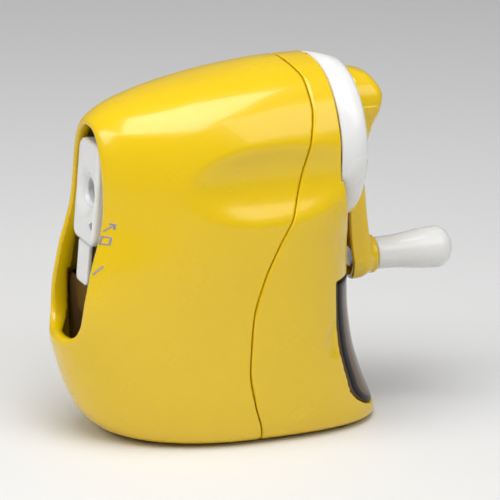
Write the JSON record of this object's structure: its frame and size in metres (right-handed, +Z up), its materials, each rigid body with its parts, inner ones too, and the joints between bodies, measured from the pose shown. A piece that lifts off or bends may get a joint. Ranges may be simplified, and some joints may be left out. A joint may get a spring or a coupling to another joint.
{
  "type": "pencil sharpener",
  "caption": "Hand-cranked desktop pencil sharpener: glossy domed case, sliding front plate, geared rear crank and pull-out shavings drawer.",
  "frame": {"origin": "on the table, under the centre of the whole object's box", "axes": "+Y from the pencil hole at the front to the crank at the back, +Z up, +X to the right seen from the front"},
  "size_m": [0.068, 0.1464, 0.1265],
  "materials": {
    "yellow_plastic": "gloss",
    "white_plastic": "gloss",
    "smoke_plastic": "gloss",
    "black_plastic": "satin",
    "gear_plastic": "satin",
    "black_rubber": "matte",
    "steel": "satin",
    "cast_metal": "satin",
    "bronze": "satin",
    "grey_ink": "satin"
  },
  "bodies": {
    "housing": {"front_shell": "yellow_plastic", "rear_shell": "yellow_plastic", "gearbox_cover": "white_plastic", "base_plate": "black_plastic", "base_screws": "steel", "rubber_feet": "black_rubber", "cutter_frame": "cast_metal", "frame_screws": "steel", "cover_screws": "steel", "ring_gear": "steel", "pencil_tube": "black_plastic", "carrier_bush": "bronze", "inner_crank_bush": "bronze", "outer_crank_bush": "bronze", "slider_guide": "black_plastic", "detent_spring": "steel"},
    "slider": {"slider_plate": "white_plastic", "slot_shutter": "white_plastic", "pencil_collar": "white_plastic", "slider_marker": "grey_ink"},
    "crank": {"crank_arm": "yellow_plastic", "crank_shaft": "steel", "crank_pinion": "gear_plastic", "crank_washer": "steel", "hub_screw": "steel", "knob_pin": "steel"},
    "knob": {"handle_knob": "white_plastic"},
    "carrier": {"cutter_carrier": "cast_metal", "carrier_plate": "cast_metal", "carrier_screws": "steel", "carrier_shaft": "steel", "carrier_gear": "gear_plastic", "gear_clip": "steel", "cutter_axle": "steel"},
    "cutter": {"helical_cutter": "steel", "cutter_pinion": "steel"},
    "drawer": {"drawer": "smoke_plastic"}
  },
  "joints": [
    {"name": "slider_slide", "type": "slide", "parent": "housing", "child": "slider", "axis": [0, -0.0698, -0.9976], "range_m": [0, 0.011]},
    {"name": "crank_spin", "type": "hinge", "parent": "housing", "child": "crank", "pos_m": [0, 0.03, 0.1088], "axis": [0, 1, 0], "continuous": true},
    {"name": "knob_spin", "type": "hinge", "parent": "crank", "child": "knob", "pos_m": [0, 0.06, 0.053], "axis": [0, 1, 0], "continuous": true},
    {"name": "carrier_spin", "type": "hinge", "parent": "housing", "child": "carrier", "pos_m": [0, 0, 0.086], "axis": [0, 1, 0], "continuous": true},
    {"name": "cutter_spin", "type": "hinge", "parent": "carrier", "child": "cutter", "pos_m": [0, 0.02253, 0.086], "axis": [0, 0.9799, -0.1997], "continuous": true},
    {"name": "drawer_slide", "type": "slide", "parent": "housing", "child": "drawer", "axis": [0, 1, 0], "range_m": [0, 0.062]}
  ],
  "couplings": [
    {"joint": "carrier_spin", "follows": "crank_spin", "ratio": -0.5},
    {"joint": "cutter_spin", "follows": "crank_spin", "ratio": 1.75}
  ]
}
